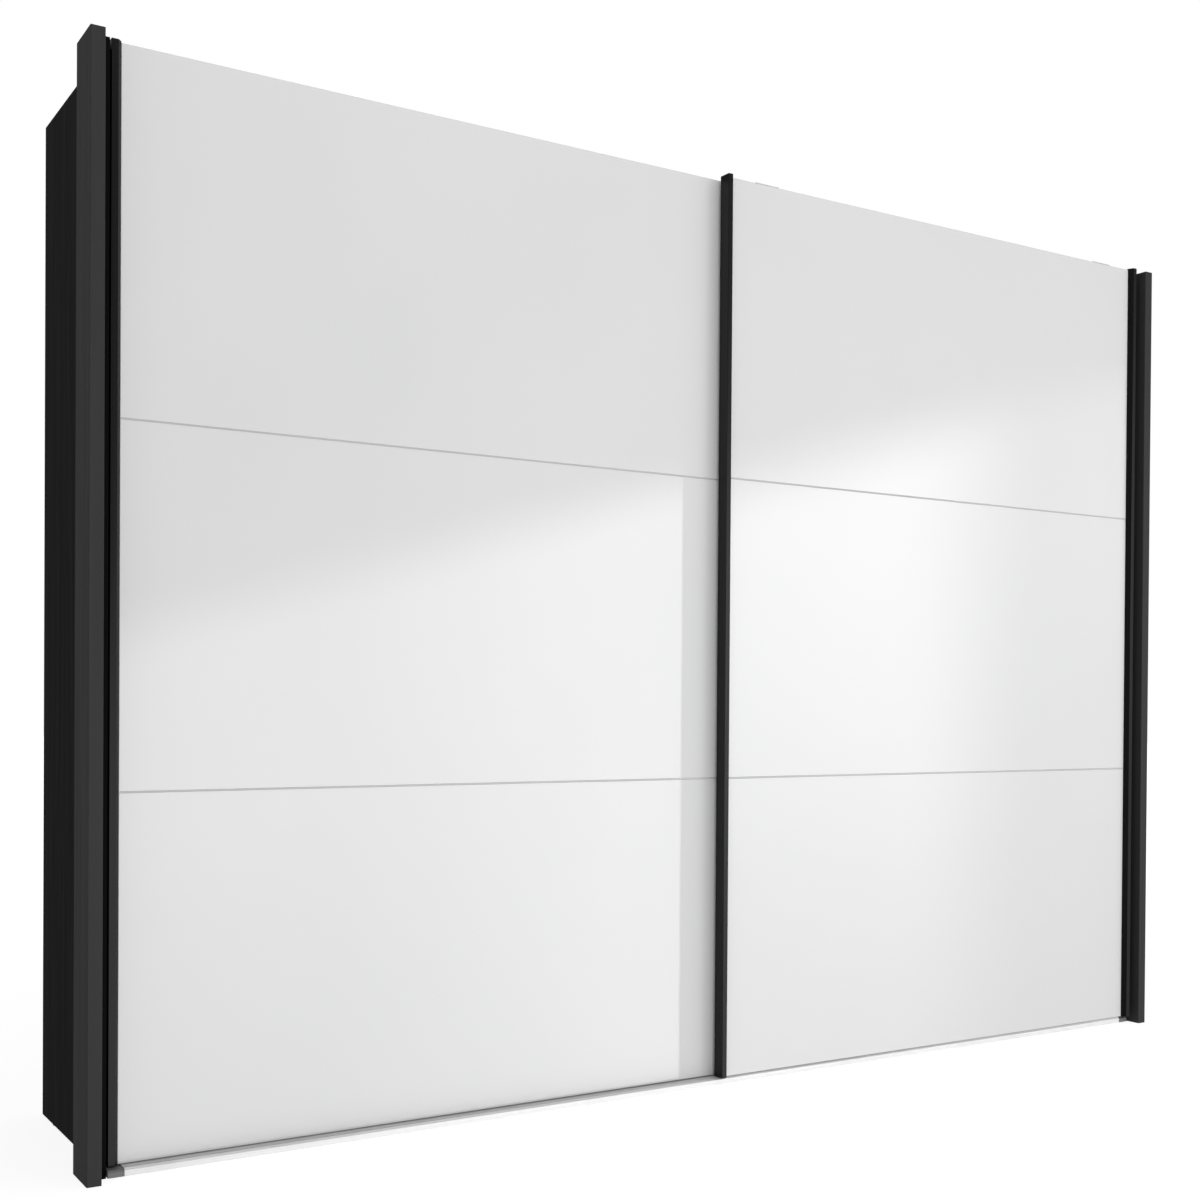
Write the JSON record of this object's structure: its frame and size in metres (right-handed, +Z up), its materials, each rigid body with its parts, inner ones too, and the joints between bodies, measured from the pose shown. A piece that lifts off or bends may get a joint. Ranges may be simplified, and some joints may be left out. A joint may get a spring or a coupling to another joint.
{
  "type": "sliding door wardrobe",
  "caption": "Wide wardrobe with overlapping sliding doors of white glass panes, dark upright grip strips, and a dark carcass between full-height side posts.",
  "frame": {"origin": "centre of the bounding box's footprint, on the floor", "axes": "+X to the user's right when facing the doors, the doors face -Y, +Z up"},
  "size_m": [3, 0.57, 2.174],
  "materials": {
    "post_decor": "melamine-faced board, matt graphite, fine linen-like emboss",
    "batten_black": "matt black filler board",
    "side_decor": "melamine-faced board, graphite outside",
    "interior_decor": "melamine-faced board, light grey linen print",
    "back_board": "thin printed hardboard",
    "plinth_decor": "melamine-faced board, matt graphite",
    "zinc_fitting": "die-cast zinc, lightly satin",
    "steel_screw": "bright zinc plated",
    "black_plastic": "moulded, slightly textured",
    "guide_plastic": "moulded nylon, smooth",
    "chrome_rail": "polished",
    "grey_plastic": "moulded, satin",
    "top_track_alu": "natural anodised, drawn along its length",
    "bottom_track_alu": "natural anodised, drawn along its length",
    "cap_plastic": "moulded, satin",
    "stop_rubber": "matt black",
    "zinc_steel": "zinc plated sheet",
    "door_board": "melamine-faced chipboard",
    "white_glass": "glossy, back-painted white",
    "strip_graphite": "powder coated, satin graphite",
    "divider_grey": "anodised, satin",
    "wheel_nylon": "turned nylon, satin"
  },
  "bodies": {
    "carcass": {"back_joint_strip": "grey_plastic", "back_panel_left": "back_board", "back_panel_right": "back_board", "bottom_panel_left": "interior_decor", "bottom_panel_right": "interior_decor", "bottom_track": "bottom_track_alu", "bottom_track_end_caps": "cap_plastic", "cam_bolts": "zinc_fitting", "cam_locks": "zinc_fitting", "carcass_screws": "steel_screw", "centre_partition": "interior_decor", "hanging_rail_left": "chrome_rail", "hanging_rail_right": "chrome_rail", "hat_shelf_left": "interior_decor", "hat_shelf_right": "interior_decor", "levelling_feet": "black_plastic", "plinth_back": "plinth_decor", "plinth_front": "plinth_decor", "post_batten_left": "batten_black", "post_batten_right": "batten_black", "post_screws": "steel_screw", "rail_centre_hangers": "grey_plastic", "rail_end_brackets": "grey_plastic", "shelf_pins": "zinc_fitting", "side_glides": "black_plastic", "side_panel_left": "side_decor", "side_panel_right": "side_decor", "side_post_left": "post_decor", "side_post_right": "post_decor", "top_panel_left": "interior_decor", "top_panel_right": "interior_decor", "top_track": "top_track_alu", "track_stops": "stop_rubber", "wall_brackets": "zinc_steel"},
    "door_left": {"left_door_board": "door_board", "left_door_dividers": "divider_grey", "left_door_edge_strip": "strip_graphite", "left_door_glass_bottom": "white_glass", "left_door_glass_middle": "white_glass", "left_door_glass_top": "white_glass", "left_door_guides": "guide_plastic", "left_door_handle_strip": "strip_graphite", "left_door_hangers": "zinc_steel", "left_door_screws": "steel_screw", "left_door_stiffeners": "zinc_steel"},
    "door_right": {"right_door_board": "door_board", "right_door_dividers": "divider_grey", "right_door_glass_bottom": "white_glass", "right_door_glass_middle": "white_glass", "right_door_glass_top": "white_glass", "right_door_guides": "guide_plastic", "right_door_handle_strip_left": "strip_graphite", "right_door_handle_strip_right": "strip_graphite", "right_door_hanger_arms": "zinc_steel", "right_door_screws": "steel_screw", "right_door_stiffeners": "zinc_steel"},
    "left_door_left_wheel": {"left_door_wheel_left": "wheel_nylon"},
    "left_door_right_wheel": {"left_door_wheel_right": "wheel_nylon"},
    "right_door_left_wheel": {"right_door_wheel_left": "wheel_nylon"},
    "right_door_right_wheel": {"right_door_wheel_right": "wheel_nylon"}
  },
  "joints": [
    {"name": "left_door_slide", "type": "slide", "parent": "carcass", "child": "door_left", "axis": [1, 0, 0], "range_m": [0, 1.4]},
    {"name": "right_door_slide", "type": "slide", "parent": "carcass", "child": "door_right", "axis": [1, 0, 0], "range_m": [-1.4, 0]},
    {"name": "left_door_left_wheel_spin", "type": "hinge", "parent": "door_left", "child": "left_door_left_wheel", "pos_m": [-1.319, -0.19, 2.132], "axis": [0, 1, 0], "continuous": true},
    {"name": "left_door_right_wheel_spin", "type": "hinge", "parent": "door_left", "child": "left_door_right_wheel", "pos_m": [-0.116, -0.19, 2.132], "axis": [0, 1, 0], "continuous": true},
    {"name": "right_door_left_wheel_spin", "type": "hinge", "parent": "door_right", "child": "right_door_left_wheel", "pos_m": [0.116, -0.162, 2.132], "axis": [0, 1, 0], "continuous": true},
    {"name": "right_door_right_wheel_spin", "type": "hinge", "parent": "door_right", "child": "right_door_right_wheel", "pos_m": [1.319, -0.162, 2.132], "axis": [0, 1, 0], "continuous": true}
  ],
  "couplings": [
    {"joint": "left_door_left_wheel_spin", "follows": "left_door_slide", "rad_per_m": 57.143},
    {"joint": "left_door_right_wheel_spin", "follows": "left_door_slide", "rad_per_m": 57.143},
    {"joint": "right_door_left_wheel_spin", "follows": "right_door_slide", "rad_per_m": 57.143},
    {"joint": "right_door_right_wheel_spin", "follows": "right_door_slide", "rad_per_m": 57.143}
  ]
}
